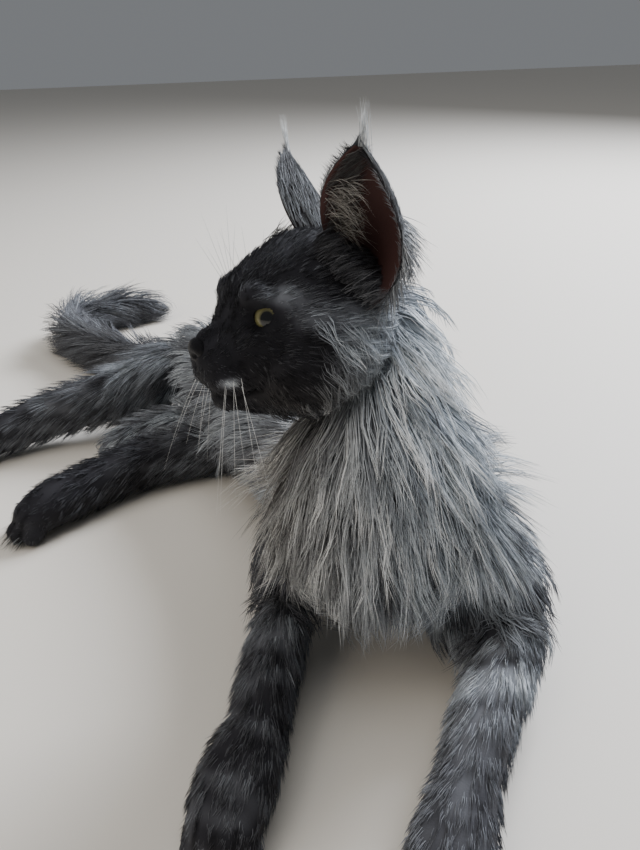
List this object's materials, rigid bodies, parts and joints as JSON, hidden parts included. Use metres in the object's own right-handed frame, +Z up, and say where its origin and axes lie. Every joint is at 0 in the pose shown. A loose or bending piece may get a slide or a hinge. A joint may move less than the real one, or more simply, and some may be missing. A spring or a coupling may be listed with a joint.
{
  "type": "maine coon cat, still museum model",
  "caption": "Life-size long-haired black smoke cat lying on the floor with its forelegs stretched out and its head turned to the side.",
  "frame": {"origin": "centre of the footprint, on the floor", "axes": "+Z up, +Y from the forepaws to the tail, which is away from the viewer in the picture, +X to the viewer's right"},
  "size_m": [0.6634, 0.9638, 0.3945],
  "materials": {
    "smoke_coat": "long soft grey fur, dark at the tips",
    "silver_ruff": "long wavy silver fur",
    "short_black_fur": "short dense near-black fur",
    "ear_fur": "short grey fur outside, dark brown skin inside",
    "tail_fur": "long bushy grey fur",
    "eye": "wet gloss, yellow-green iris",
    "nose_leather": "fine pebbled black skin, slightly damp"
  },
  "bodies": {
    "root": {"nose": "nose_leather", "eye_left": "eye", "eye_right": "eye", "head": "short_black_fur", "ear_left": "ear_fur", "ear_right": "ear_fur", "neck": "silver_ruff", "torso_front": "smoke_coat", "torso_middle": "smoke_coat", "torso_rear": "smoke_coat", "foreleg_left_upper": "smoke_coat", "foreleg_left_lower": "smoke_coat", "forepaw_left": "short_black_fur", "foreleg_right_upper": "smoke_coat", "foreleg_right_lower": "smoke_coat", "forepaw_right": "short_black_fur", "hindleg_left_thigh": "smoke_coat", "hindleg_left_shank": "smoke_coat", "hindfoot_left": "short_black_fur", "hindleg_right_thigh": "smoke_coat", "hindleg_right_shank": "smoke_coat", "hindfoot_right": "short_black_fur", "tail_1": "tail_fur", "tail_2": "tail_fur", "tail_3": "tail_fur", "tail_4": "tail_fur"}
  },
  "joints": []
}
